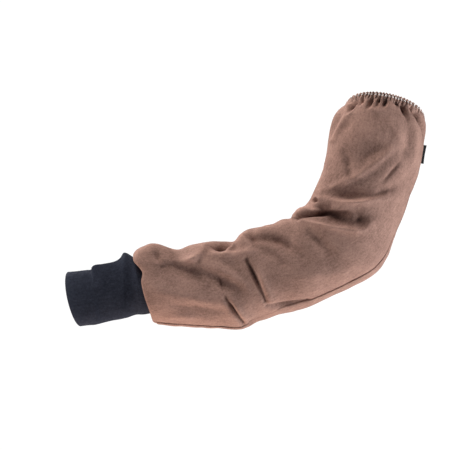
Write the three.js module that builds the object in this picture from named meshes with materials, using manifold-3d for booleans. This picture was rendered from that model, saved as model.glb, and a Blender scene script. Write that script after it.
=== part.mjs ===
// Protective arm sleeve, kept in the bent form that it has on an arm.
// Millimetres, +Z up. The arm bends in the plane y = 0 and its near side faces -Y.
// The origin is the middle of the top opening, at the lower edge of the elastic hem.
import * as THREE from "three";
import { ParametricGeometry } from "three/addons/geometries/ParametricGeometry.js";
import { mergeGeometries, mergeVertices } from "three/addons/utils/BufferGeometryUtils.js";
import Module from "manifold-3d";

// Cloth thicknesses and the gap that keeps two sewn pieces apart
const WOVEN_CLOTH = 1.4;
const KNIT_CLOTH = 1.8;
const PIECE_GAP = 0.3;

// Facets: rows run along a tube and columns round it
const BODY_ROWS = 53;
const BODY_COLUMNS = 40;
const EVEN_ROWS = 0.6;
const FAR_SHARE = 0.35;
const CUFF_ROWS = 14;
const CUFF_COLUMNS = 24;
const FOLD_STEPS = 10;
const FACET_BLUR = 4.5;
const SLOPE_STEP = 1e-3;
const MERGE_DISTANCE = 1e-3;
const RAIL_TENSION = 0.5;

// A fold keeps its full height where the cloth faces straight out of the arm's plane
const FOLD_FADE_START = 0.1;
const FOLD_FADE_END = 0.5;
// and none in the turned-in wrist edge or under the hem
const FOLD_WRIST_START = 0.07;
const FOLD_WRIST_END = 0.14;
const FOLD_HEM_START = 0.88;
const FOLD_HEM_END = 0.935;

// Felled seam strip: its width is a share of the tube's girth
const SEAM_SHARE = 0.026;
const SEAM_CLOTH = 1.2;
const SEAM_FIRST_ROW = 6;
const SEAM_LAST_ROW = 48;

// Gathered elastic hem
const HEM_START = 0.94;
const HEM_PLEATS = 60;
const HEM_STEPS_PER_PLEAT = 2;
const HEM_CLOTH = 2;
const PLEAT_HEIGHT = 0.6;
const HEM_PROFILE = [
  { along: 0, lift: 0 },
  { along: 0, lift: 1 },
  { along: 0.5, lift: 1.25 },
  { along: 1, lift: 1 },
  { along: 1, lift: 0 },
];

// Thumb hole in the cuff
const THUMB_HOLE = { x: -371, z: -192, halfLength: 22, halfWidth: 13, tilt: 0.39 };
const THUMB_CUT_BELOW = 16;
const THUMB_CUT_HEIGHT = 40;
const THUMB_SEGMENTS = 10;

// Folded tab, sewn into the seam behind the upper arm
const TAB = { along: 0.84, turn: 0.54, width: 25, reach: 13, cloth: 0.8, slot: 0.6, swing: 1.05 };
const TAB_SEGMENTS = 4;

// Surface of each piece
const FINISHES = {
  sleeve: { color: "#96695c", roughness: 0.92, metalness: 0 },
  seam: { color: "#8c6156", roughness: 0.92, metalness: 0 },
  hem: { color: "#9d7062", roughness: 0.9, metalness: 0 },
  knit: { color: "#23262d", roughness: 0.95, metalness: 0 },
  tab: { color: "#17181c", roughness: 0.85, metalness: 0 },
};

const named = (columns, table) =>
  table.map((row) => Object.fromEntries(columns.map((name, i) => [name, row[i]])));

// A section's inner and outer edge lie in the arm's plane. near and far are its half depths,
// lean is how far its near side stands along the arm, and seam is the seam's turn round it.
const SECTION = ["innerX", "innerZ", "outerX", "outerZ", "near", "far", "lean", "seam"];

// From the turned-in wrist edge, over the elbow, to the neck inside the hem
const SLEEVE_SECTIONS = named(SECTION, [
  [-321, -195, -305, -262, 33, 33, 0, 0.47],
  [-330, -191, -309, -267, 36, 36, 0, 0.47],
  [-337, -186, -311.5, -273, 40, 40, 0, 0.47],
  [-333, -178, -307, -276, 43, 43, 0, 0.47],
  [-322, -172.5, -298, -277.3, 45, 45, 0, 0.47],
  [-308, -170.3, -286, -278.6, 46, 46, 0, 0.47],
  [-293, -174.5, -274, -279.3, 46, 46, 0, 0.47],
  [-278, -178.3, -261, -280, 46, 46, 0, 0.47],
  [-262, -172.8, -247, -280.8, 47, 47, 0, 0.47],
  [-246, -168.7, -234, -281.8, 48, 47, 0, 0.47],
  [-230, -166.5, -220, -282.2, 49, 48, 0, 0.47],
  [-214, -167, -207, -283.7, 50, 49, 0, 0.47],
  [-203, -166.5, -195, -284, 51, 50, 0, 0.468],
  [-195, -157.5, -183, -281.5, 52, 50, 0, 0.463],
  [-184, -151, -171, -275, 53, 51, 0, 0.45],
  [-170, -148, -157, -270.5, 54, 52, 0, 0.434],
  [-154, -145, -140, -263.5, 55, 53, 0, 0.424],
  [-139, -138.5, -120, -259.7, 56, 54, 0, 0.422],
  [-127.5, -136.8, -98, -252.3, 57, 55, 0, 0.426],
  [-123.8, -130.5, -75, -241.8, 58, 55, 0, 0.43],
  [-117, -123.8, -52, -231.5, 59, 56, 0, 0.432],
  [-108, -119.8, -29, -219.5, 60, 56, 0, 0.435],
  [-103, -114, -10, -206, 60, 56, 0, 0.443],
  [-98, -104.5, 2.5, -187, 60, 56, 0, 0.458],
  [-92, -91, 11.5, -161, 60, 57, 0, 0.476],
  [-86, -77, 21.5, -135, 60, 57, 1, 0.494],
  [-81.5, -62, 31.5, -107, 60, 57, 3, 0.508],
  [-78.5, -47, 41, -83, 59, 56, 5, 0.515],
  [-77, -32, 46.5, -60, 58, 55, 8, 0.518],
  [-75, -17, 50, -40, 57, 54, 11, 0.52],
  [-71.5, -4, 52.8, -23, 55, 53, 14, 0.52],
  [-64.5, 6, 53, -13, 52, 51, 16.5, 0.52],
  [-57.5, 10.5, 51.8, -10, 49.5, 49.5, 19, 0.52],
  [-53, 14, 50, -7, 47.5, 47.5, 20.2, 0.52],
  [-50.3, 17.3, 48.8, -3.6, 46.8, 46.8, 20.8, 0.52],
]);

// From the finger edge to the seam inside the sleeve's wrist edge
const CUFF_SECTIONS = named(SECTION, [
  [-424, -208, -407, -280, 20, 20, -9, 0],
  [-411, -206.5, -397, -279, 21, 21, -7, 0],
  [-398, -205, -386, -278, 22, 22, -4, 0],
  [-390, -199, -378, -276, 23, 23, -2, 0],
  [-378, -194.5, -367, -273.5, 25, 25, 0, 0],
  [-364, -189, -355, -271, 26, 26, 0, 0],
  [-349, -182.5, -344, -268.5, 27, 27, 0, 0],
  [-339, -186.5, -333, -265, 28, 28, 0, 0],
  [-331, -191.5, -322, -264, 30, 30, 0, 0],
  [-321, -195.7, -305.2, -261.2, 32.2, 32.2, 0, 0],
]);

// A fold runs over three points of the arm's plane. Its height at each is outward when positive,
// and left and right are its half widths on the two sides of its way.
const FOLD = ["x0", "z0", "x1", "z1", "x2", "z2", "h0", "h1", "h2", "left", "right"];

const NEAR_FOLDS = named(FOLD, [
  // Upper arm
  [-86, -97, -48, -85, -4, -56, 4, 5.5, 1, 15, 7],
  [-84, -101, -48, -99, -2, -82, -2, -5, -2, 8, 8],
  [-84, -104, -44, -115, 18, -98, 3, 4.5, 2, 7, 12],
  [16, -10, 26, -32, 16, -62, -2, -4, -2, 8, 8],
  [18, -58, 10, -70, 0, -83, -1.5, -3, -1, 4, 4],
  [36, -18, 34, -46, 8, -82, 2, 3.5, 2, 9, 7],
  [-2, -34, -32, -54, -46, -84, -3, -4, -2, 15, 13],
  [-55, 9, -66, -12, -73, -29, -2, -5, -2.5, 6, 6],
  [-50, 14, -59, -8, -74, -34, 1, 3.5, 1.5, 5, 5],
  [-45, -4, -52, -14, -60, -24, -1, -2.5, -1, 6, 7],
  [36, -84, 14, -95, -8, -103, -2, -3, -2, 8, 7],
  // Gathers below the hem
  [-42, 21, -46, 14, -50, 7, -3, -4, -1, 5, 5],
  [-19, 20, -21, 15, -24, 11, -2, -3, -1, 4, 4],
  [0, 21, -1, 16, -2, 11, -2, -3, -1, 4, 4],
  [21, 16, 24, 8, 28, -4, -3, -4.5, -1, 5, 5],
  [41, 1, 42, -6, 45, -16, -2, -3, -1, 4, 4],
  // Crook of the elbow
  [-121, -129, -108, -122, -90, -119, 3, 5, 2, 6, 6],
  [-122, -136, -92, -131, -62, -134, -5, -7, -3, 8, 8],
  [-58, -137, -46, -139, -30, -139, -2, -4, -3, 10, 9],
  [-112, -140, -62, -150, -24, -150, 2, 5, 5, 8, 16],
  [-25, -148, -15, -139, -19, -124, 4, 5, 3, 8, 9],
  [-80, -119, -52, -120, -20, -119, 2, 3, 2, 9, 8],
  // Forearm
  [-185, -192, -175, -216, -162, -245, -4, -6, -3, 3, 3],
  [-177, -192, -167, -216, -155, -242, 1, 3, 1, 6, 8],
  [-214, -245, -204, -258, -191, -276, -3, -5, -4, 3, 3],
  [-303, -198, -262, -203, -196, -232, -4, -6, -4, 9, 11],
  [-314, -173, -311, -186, -303, -198, -2, -4.5, -4, 7, 6],
  [-248, -195, -215, -211, -184, -232, 1, 3, 1.5, 9, 8],
  [-275, -190, -258, -184, -246, -175, 2, 4, 2, 7, 7],
  [-226, -173, -219, -173, -210, -170, -3, -6, -3, 5, 5],
  [-226, -184, -203, -184.5, -178, -181, 3, 4.5, 3, 5, 6],
  [-208, -173, -198, -165, -188, -152, 2, 4, 3, 5, 5],
  [-184, -160, -176, -158, -165, -156, -3, -3, -2, 6, 6],
  [-152, -163, -140, -169, -108, -190, -2, -3, -3, 7, 8],
  [-102, -158, -92, -167, -80, -180, -2, -2.5, -2, 7, 7],
  [-305, -235, -262, -246, -216, -254, 2, 3, 2, 9, 8],
]);

const FAR_FOLDS = named(FOLD, [
  [-120, -136, -88, -131, -45, -132, -4, -7, -4, 9, 9],
  [-110, -146, -66, -155, -24, -152, 2, 4, 3, 11, 14],
  [-86, -98, -48, -90, 0, -66, 3, 4, 1, 14, 9],
  [-84, -108, -44, -113, 14, -102, -2, -3, -2, 8, 9],
  [12, -46, 22, -64, 8, -92, -2, -4, -2, 9, 9],
  [-52, -30, -60, -46, -70, -66, -2, -3, -2, 8, 8],
  [-300, -205, -255, -212, -200, -228, -3, -5, -3, 10, 11],
  [-180, -196, -172, -214, -158, -238, -3, -4, -2, 8, 8],
  [-250, -188, -215, -196, -186, -206, 2, 3, 2, 9, 8],
  [-150, -170, -130, -184, -100, -196, -2, -3, -2, 9, 9],
]);

// Fold heights over the arm's plane
function foldLine(row) {
  const start = new THREE.Vector2(row.x0, row.z0);
  const middle = new THREE.Vector2(row.x1, row.z1);
  const end = new THREE.Vector2(row.x2, row.z2);
  const control = middle.multiplyScalar(2).sub(start.clone().add(end).divideScalar(2));
  const points = new THREE.QuadraticBezierCurve(start, control, end).getPoints(FOLD_STEPS);
  return { ...row, points };
}

function foldHeight(fold, x, z) {
  let nearest = Infinity;
  let along = 0;
  let width = fold.left;
  for (let i = 0; i < FOLD_STEPS; i += 1) {
    const from = fold.points[i];
    const wayX = fold.points[i + 1].x - from.x;
    const wayZ = fold.points[i + 1].y - from.y;
    const share = ((x - from.x) * wayX + (z - from.y) * wayZ) / (wayX * wayX + wayZ * wayZ);
    const step = THREE.MathUtils.clamp(share, 0, 1);
    const offX = x - from.x - step * wayX;
    const offZ = z - from.y - step * wayZ;
    const distance = Math.hypot(offX, offZ);
    if (distance < nearest) {
      nearest = distance;
      along = (i + step) / FOLD_STEPS;
      width = wayX * offZ > wayZ * offX ? fold.left : fold.right;
    }
  }
  const first = THREE.MathUtils.lerp(fold.h0, fold.h1, THREE.MathUtils.smoothstep(along, 0, 0.5));
  const height = along < 0.5 ? first
    : THREE.MathUtils.lerp(fold.h1, fold.h2, THREE.MathUtils.smoothstep(along, 0.5, 1));
  const blurred = Math.hypot(width, FACET_BLUR);
  return height * (width / blurred) * Math.exp(-((nearest / blurred) ** 2));
}

// A tube through a table of sections. along runs from its first section to its last, and turn
// runs once round it: inner edge, near side, outer edge, far side.
class Tube {
  constructor(sections, nearFolds, farFolds) {
    const curve = (pick) =>
      new THREE.CatmullRomCurve3(sections.map(pick), false, "catmullrom", RAIL_TENSION);
    this.inner = curve((s) => new THREE.Vector3(s.innerX, 0, s.innerZ));
    this.outer = curve((s) => new THREE.Vector3(s.outerX, 0, s.outerZ));
    this.depths = curve((s) => new THREE.Vector3(s.near, s.far, s.lean));
    this.seams = curve((s) => new THREE.Vector3(s.seam, 0, 0));
    this.middle = curve((s) => new THREE.Vector3(s.innerX + s.outerX, 0, s.innerZ + s.outerZ));
    this.nearFolds = nearFolds.map(foldLine);
    this.farFolds = farFolds.map(foldLine);
  }

  // Rows are set partly by the table's sections and partly by even steps along the arm
  row(share) {
    return THREE.MathUtils.lerp(share, this.middle.getUtoTmapping(share), EVEN_ROWS);
  }

  seamTurn(along) {
    return this.seams.getPoint(along).x;
  }

  // The smooth tube, before its folds
  smooth(along, turn) {
    const angle = 2 * Math.PI * turn;
    const cosine = Math.cos(angle);
    const sine = Math.sin(angle);
    const inner = this.inner.getPoint(along);
    const outer = this.outer.getPoint(along);
    const { x: near, y: far, z: lean } = this.depths.getPoint(along);
    const half = inner.clone().sub(outer).divideScalar(2);
    const ahead = new THREE.Vector3(half.z, 0, -half.x).normalize();
    const point = inner.add(outer).divideScalar(2);
    point.addScaledVector(half, cosine).addScaledVector(ahead, lean * sine);
    point.y -= (sine > 0 ? near : far) * sine;
    return point;
  }

  lengthways(along, turn) {
    const before = Math.max(along - SLOPE_STEP, 0);
    const after = Math.min(along + SLOPE_STEP, 1);
    return this.smooth(after, turn).sub(this.smooth(before, turn)).normalize();
  }

  outward(along, turn) {
    const round = this.smooth(along, turn + SLOPE_STEP).sub(this.smooth(along, turn - SLOPE_STEP));
    return round.cross(this.lengthways(along, turn)).normalize();
  }

  // A point of the folded cloth, lifted off its outside, or inside it when lift is negative
  lifted(along, turn, lift) {
    const point = this.smooth(along, turn);
    const out = this.outward(along, turn);
    const facing = THREE.MathUtils.smoothstep(Math.abs(out.y), FOLD_FADE_START, FOLD_FADE_END);
    const clearOfWrist = THREE.MathUtils.smoothstep(along, FOLD_WRIST_START, FOLD_WRIST_END);
    const clearOfHem = 1 - THREE.MathUtils.smoothstep(along, FOLD_HEM_START, FOLD_HEM_END);
    const folds = out.y < 0 ? this.nearFolds : this.farFolds;
    const height = folds.reduce((sum, fold) => sum + foldHeight(fold, point.x, point.z), 0);
    return point.addScaledVector(out, facing * clearOfWrist * clearOfHem * height + lift);
  }
}

// A grid of facets over whole steps of two counts
function sheet(place, slices, stacks) {
  return new ParametricGeometry((across, up, target) => {
    target.copy(place(Math.round(across * slices), Math.round(up * stacks)));
  }, slices, stacks);
}

// One closed cloth wall: the outside of the tube, its inside and the two cut edges
function wall(tube, rows, columns, cloth, turnOf) {
  const at = (row, column, lift) => {
    const along = tube.row(row / rows);
    return tube.lifted(along, turnOf(column % columns, along), lift);
  };
  return mergeGeometries([
    sheet((column, row) => at(row, column, 0), columns, rows),
    sheet((row, column) => at(row, column, -cloth), rows, columns),
    sheet((column, inside) => at(rows, column, -cloth * inside), columns, 1),
    sheet((column, outside) => at(0, column, cloth * (outside - 1)), columns, 1),
  ]);
}

function closed(geometry) {
  const bare = geometry.clone();
  bare.deleteAttribute("normal");
  bare.deleteAttribute("uv");
  return mergeVertices(bare, MERGE_DISTANCE);
}

function mesh(name, geometry, finish) {
  const made = new THREE.Mesh(closed(geometry), new THREE.MeshStandardMaterial(finish));
  made.name = name;
  return made;
}

// Sleeve body: its columns run beside the seam, and the near side has the closer ones
const sleeve = new Tube(SLEEVE_SECTIONS, NEAR_FOLDS, FAR_FOLDS);

function bodyTurn(column, along) {
  const share = column / (BODY_COLUMNS - 1);
  const spread = share < FAR_SHARE ? share / FAR_SHARE / 2
    : 0.5 + (share - FAR_SHARE) / (1 - FAR_SHARE) / 2;
  return sleeve.seamTurn(along) + SEAM_SHARE / 2 + (1 - SEAM_SHARE) * spread;
}

const body = wall(sleeve, BODY_ROWS, BODY_COLUMNS, WOVEN_CLOTH, bodyTurn);

// Felled seam strip, on the column of facets between the body's first and last column
function seamStrip() {
  const rows = SEAM_LAST_ROW - SEAM_FIRST_ROW;
  const ends = rows + 2;
  const corners = [
    { side: -1, lift: PIECE_GAP },
    { side: 1, lift: PIECE_GAP },
    { side: 1, lift: PIECE_GAP + SEAM_CLOTH },
    { side: -1, lift: PIECE_GAP + SEAM_CLOTH },
  ];
  const tip = { side: 0, lift: PIECE_GAP + SEAM_CLOTH / 2 };
  return sheet((layer, round) => {
    const row = THREE.MathUtils.clamp(layer - 1, 0, rows);
    const along = sleeve.row((SEAM_FIRST_ROW + row) / BODY_ROWS);
    const inside = layer > 0 && layer < ends;
    const { side, lift } = inside ? corners[round % corners.length] : tip;
    return sleeve.lifted(along, sleeve.seamTurn(along) + side * SEAM_SHARE / 2, lift);
  }, ends, corners.length);
}

// Gathered hem: a pleated ring over the neck of the body
function hemRing() {
  const columns = HEM_PLEATS * HEM_STEPS_PER_PLEAT;
  return sheet((column, corner) => {
    const turn = (column % columns) / columns;
    const profile = HEM_PROFILE[corner % HEM_PROFILE.length];
    const along = THREE.MathUtils.lerp(HEM_START, 1, profile.along);
    const pleat = PLEAT_HEIGHT * Math.cos(2 * Math.PI * HEM_PLEATS * turn);
    return sleeve.lifted(along, turn, 2 * PIECE_GAP + profile.lift * (HEM_CLOTH + pleat));
  }, columns, HEM_PROFILE.length);
}

// Knit cuff with its thumb hole cut through the top
const wasm = await Module();
wasm.setup();

function solid(geometry) {
  const source = closed(geometry);
  return new wasm.Manifold(new wasm.Mesh({
    numProp: 3,
    vertProperties: source.attributes.position.array,
    triVerts: new Uint32Array(source.index.array),
  }));
}

function geometryOf(manifold) {
  const { vertProperties, triVerts } = manifold.getMesh();
  const geometry = new THREE.BufferGeometry();
  geometry.setAttribute("position", new THREE.BufferAttribute(vertProperties, 3));
  geometry.setIndex(new THREE.BufferAttribute(triVerts, 1));
  return geometry;
}

function cuffWithThumbHole() {
  const tube = new Tube(CUFF_SECTIONS, [], []);
  const knit = wall(tube, CUFF_ROWS, CUFF_COLUMNS, KNIT_CLOTH, (column) => column / CUFF_COLUMNS);
  const lens = new THREE.Shape();
  lens.absellipse(0, 0, THUMB_HOLE.halfLength, THUMB_HOLE.halfWidth, 0, 2 * Math.PI);
  const cut = new THREE.ExtrudeGeometry(lens, {
    depth: THUMB_CUT_HEIGHT,
    bevelEnabled: false,
    curveSegments: THUMB_SEGMENTS,
  });
  cut.translate(0, 0, -THUMB_CUT_BELOW);
  cut.rotateY(-THUMB_HOLE.tilt);
  cut.translate(THUMB_HOLE.x, 0, THUMB_HOLE.z);
  return geometryOf(solid(knit).subtract(solid(cut)));
}

// Folded tab: a U of cloth whose fold is its free edge
function foldedTab() {
  const { along, turn, width, reach, cloth, slot, swing } = TAB;
  const outerRadius = cloth + slot / 2;
  const profile = new THREE.Shape();
  profile.moveTo(0, -outerRadius);
  profile.lineTo(reach - outerRadius, -outerRadius);
  profile.absarc(reach - outerRadius, 0, outerRadius, -Math.PI / 2, Math.PI / 2, false);
  profile.lineTo(0, outerRadius);
  profile.lineTo(0, slot / 2);
  profile.lineTo(reach - outerRadius, slot / 2);
  profile.absarc(reach - outerRadius, 0, slot / 2, Math.PI / 2, -Math.PI / 2, true);
  profile.lineTo(0, -slot / 2);
  const tab = new THREE.ExtrudeGeometry(profile, {
    depth: width,
    bevelEnabled: false,
    curveSegments: TAB_SEGMENTS,
  });
  tab.translate(0, 0, -width / 2);
  const root = sleeve.lifted(along, turn, outerRadius * Math.sin(swing) + PIECE_GAP);
  const upward = sleeve.lengthways(along, turn);
  const outward = sleeve.outward(along, turn).applyAxisAngle(upward, swing);
  const sideways = new THREE.Vector3().crossVectors(upward, outward);
  tab.applyMatrix4(new THREE.Matrix4().makeBasis(outward, sideways, upward).setPosition(root));
  return tab;
}

const part = new THREE.Group();
part.name = "arm_sleeve";
part.add(
  mesh("sleeve_body", body, FINISHES.sleeve),
  mesh("under_seam", seamStrip(), FINISHES.seam),
  mesh("hem_band", hemRing(), FINISHES.hem),
  mesh("knit_cuff", cuffWithThumbHole(), FINISHES.knit),
  mesh("side_tab", foldedTab(), FINISHES.tab),
);

export default part;
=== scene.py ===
"""Protective arm sleeve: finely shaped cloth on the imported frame, in metres, +Z up."""

import math
from collections import namedtuple

import bpy
import numpy as np
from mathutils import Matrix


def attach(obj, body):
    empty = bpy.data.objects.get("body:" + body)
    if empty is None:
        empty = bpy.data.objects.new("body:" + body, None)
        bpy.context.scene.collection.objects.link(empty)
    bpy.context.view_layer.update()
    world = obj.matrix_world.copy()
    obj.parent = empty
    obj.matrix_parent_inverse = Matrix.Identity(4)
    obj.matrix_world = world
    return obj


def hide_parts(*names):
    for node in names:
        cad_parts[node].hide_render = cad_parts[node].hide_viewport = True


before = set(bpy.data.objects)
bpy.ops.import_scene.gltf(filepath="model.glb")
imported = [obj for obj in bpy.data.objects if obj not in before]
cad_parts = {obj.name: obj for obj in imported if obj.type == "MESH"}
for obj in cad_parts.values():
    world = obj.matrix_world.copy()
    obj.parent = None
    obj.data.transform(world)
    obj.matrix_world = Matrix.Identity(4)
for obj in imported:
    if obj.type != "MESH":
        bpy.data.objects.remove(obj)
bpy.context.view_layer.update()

# The sleeve's tables and lengths are in millimetres, and its meshes are scaled by this. The floor,
# the lights and the camera are in metres.
MM = 0.001

# A section's inner and outer edge lie in the arm's plane. near and far are its half depths,
# lean is how far its near side stands along the arm, and seam is the seam's turn round it.
SECTION = "inner_x inner_z outer_x outer_z near far lean seam".split()

# From the turned-in wrist edge, over the elbow, to the neck inside the hem
SLEEVE_SECTIONS = [
    (-321, -195, -305, -262, 33, 33, 0, 0.47),
    (-330, -191, -309, -267, 36, 36, 0, 0.47),
    (-337, -186, -311.5, -273, 40, 40, 0, 0.47),
    (-333, -178, -307, -276, 43, 43, 0, 0.47),
    (-322, -172.5, -298, -277.3, 45, 45, 0, 0.47),
    (-308, -170.3, -286, -278.6, 46, 46, 0, 0.47),
    (-293, -174.5, -274, -279.3, 46, 46, 0, 0.47),
    (-278, -178.3, -261, -280, 46, 46, 0, 0.47),
    (-262, -172.8, -247, -280.8, 47, 47, 0, 0.47),
    (-246, -168.7, -234, -281.8, 48, 47, 0, 0.47),
    (-230, -166.5, -220, -282.2, 49, 48, 0, 0.47),
    (-214, -167, -207, -283.7, 50, 49, 0, 0.47),
    (-203, -166.5, -195, -284, 51, 50, 0, 0.468),
    (-195, -157.5, -183, -281.5, 52, 50, 0, 0.463),
    (-184, -151, -171, -275, 53, 51, 0, 0.45),
    (-170, -148, -157, -270.5, 54, 52, 0, 0.434),
    (-154, -145, -140, -263.5, 55, 53, 0, 0.424),
    (-139, -138.5, -120, -259.7, 56, 54, 0, 0.422),
    (-127.5, -136.8, -98, -252.3, 57, 55, 0, 0.426),
    (-123.8, -130.5, -75, -241.8, 58, 55, 0, 0.43),
    (-117, -123.8, -52, -231.5, 59, 56, 0, 0.432),
    (-108, -119.8, -29, -219.5, 60, 56, 0, 0.435),
    (-103, -114, -10, -206, 60, 56, 0, 0.443),
    (-98, -104.5, 2.5, -187, 60, 56, 0, 0.458),
    (-92, -91, 11.5, -161, 60, 57, 0, 0.476),
    (-86, -77, 21.5, -135, 60, 57, 1, 0.494),
    (-81.5, -62, 31.5, -107, 60, 57, 3, 0.508),
    (-78.5, -47, 41, -83, 59, 56, 5, 0.515),
    (-77, -32, 46.5, -60, 58, 55, 8, 0.518),
    (-75, -17, 50, -40, 57, 54, 11, 0.52),
    (-71.5, -4, 52.8, -23, 55, 53, 14, 0.52),
    (-64.5, 6, 53, -13, 52, 51, 16.5, 0.52),
    (-57.5, 10.5, 51.8, -10, 49.5, 49.5, 19, 0.52),
    (-53, 14, 50, -7, 47.5, 47.5, 20.2, 0.52),
    (-50.3, 17.3, 48.8, -3.6, 46.8, 46.8, 20.8, 0.52),
]

# From the finger edge, past the thumb hole, to the seam inside the sleeve's wrist edge
CUFF_SECTIONS = [
    (-424, -208, -407, -280, 20, 20, -9, 0),
    (-411, -206.5, -397, -279, 21, 21, -7, 0),
    (-399, -205.3, -388, -278.4, 22, 22, -4, 0),
    (-392.8, -204, -381, -276.8, 22.6, 22.6, -2.5, 0),
    (-390.3, -194, -377, -275.7, 23, 23, -2, 0),
    (-378, -192.3, -367, -273.5, 25, 25, 0, 0),
    (-364, -191, -355, -271, 26, 26, 0, 0),
    (-355, -188, -349, -269.6, 26.5, 26.5, 0, 0),
    (-348.5, -182, -344, -268.5, 27, 27, 0, 0),
    (-339, -186.5, -333, -265, 28, 28, 0, 0),
    (-331, -191.5, -322, -264.6, 30, 30, 0, 0),
    (-321, -195.7, -305.2, -261.2, 32.2, 32.2, 0, 0),
]

# A fold runs over three points of the arm's plane. Its heights are outward when positive, left
# and right are its half widths beside its way, slide pushes its crest over to the left, and
# crisp is 2 for a soft roll, nearer 1 for a pressed crease and above 2 for a steep-sided one.
Fold = namedtuple("Fold", "x0 z0 x1 z1 x2 z2 h0 h1 h2 left right slide crisp")

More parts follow.
